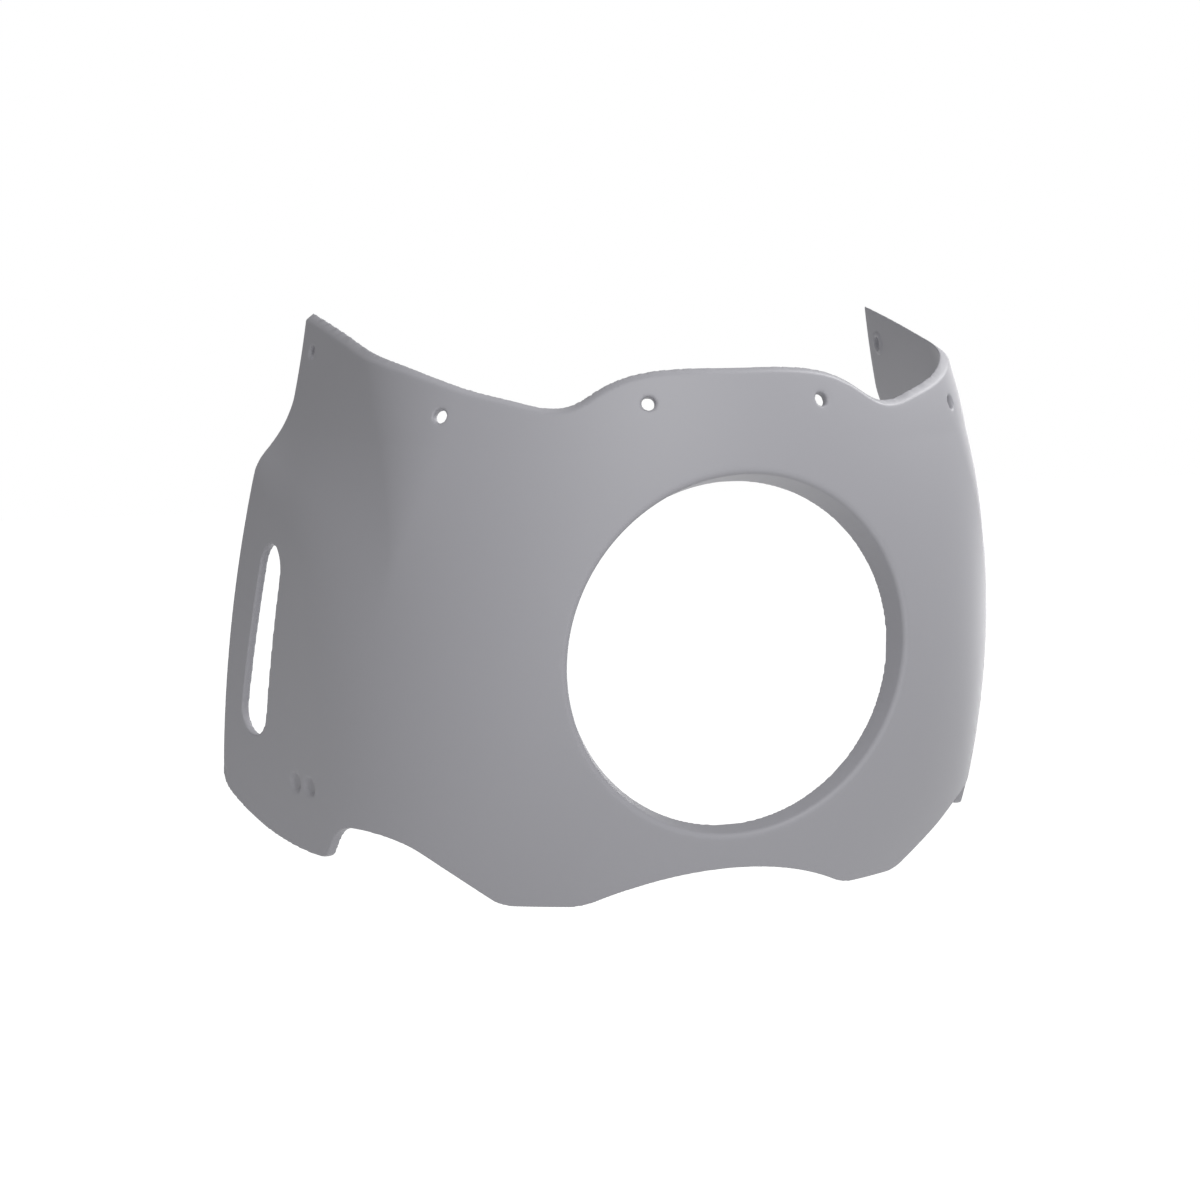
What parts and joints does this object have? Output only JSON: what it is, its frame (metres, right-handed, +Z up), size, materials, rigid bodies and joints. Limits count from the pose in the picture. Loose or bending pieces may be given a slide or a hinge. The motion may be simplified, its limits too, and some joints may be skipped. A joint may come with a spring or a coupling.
{
  "type": "motorcycle headlight cowl",
  "caption": "Moulded motorcycle headlight cowl: a curved shell with a large round flanged lamp opening, wrapped sides, a shaped top rim for a windscreen and a round-ended slot in each side.",
  "frame": {"origin": "centre of the lamp opening's rear rim", "axes": "-Y forward along the lamp's axis, +Z up, +X to the left of a rider who sits behind it"},
  "size_m": [0.4134, 0.1992, 0.2787],
  "materials": {
    "grey_plastic": "satin, unpainted grey plastic"
  },
  "bodies": {
    "root": {"cowl_shell": "grey_plastic"}
  },
  "joints": []
}
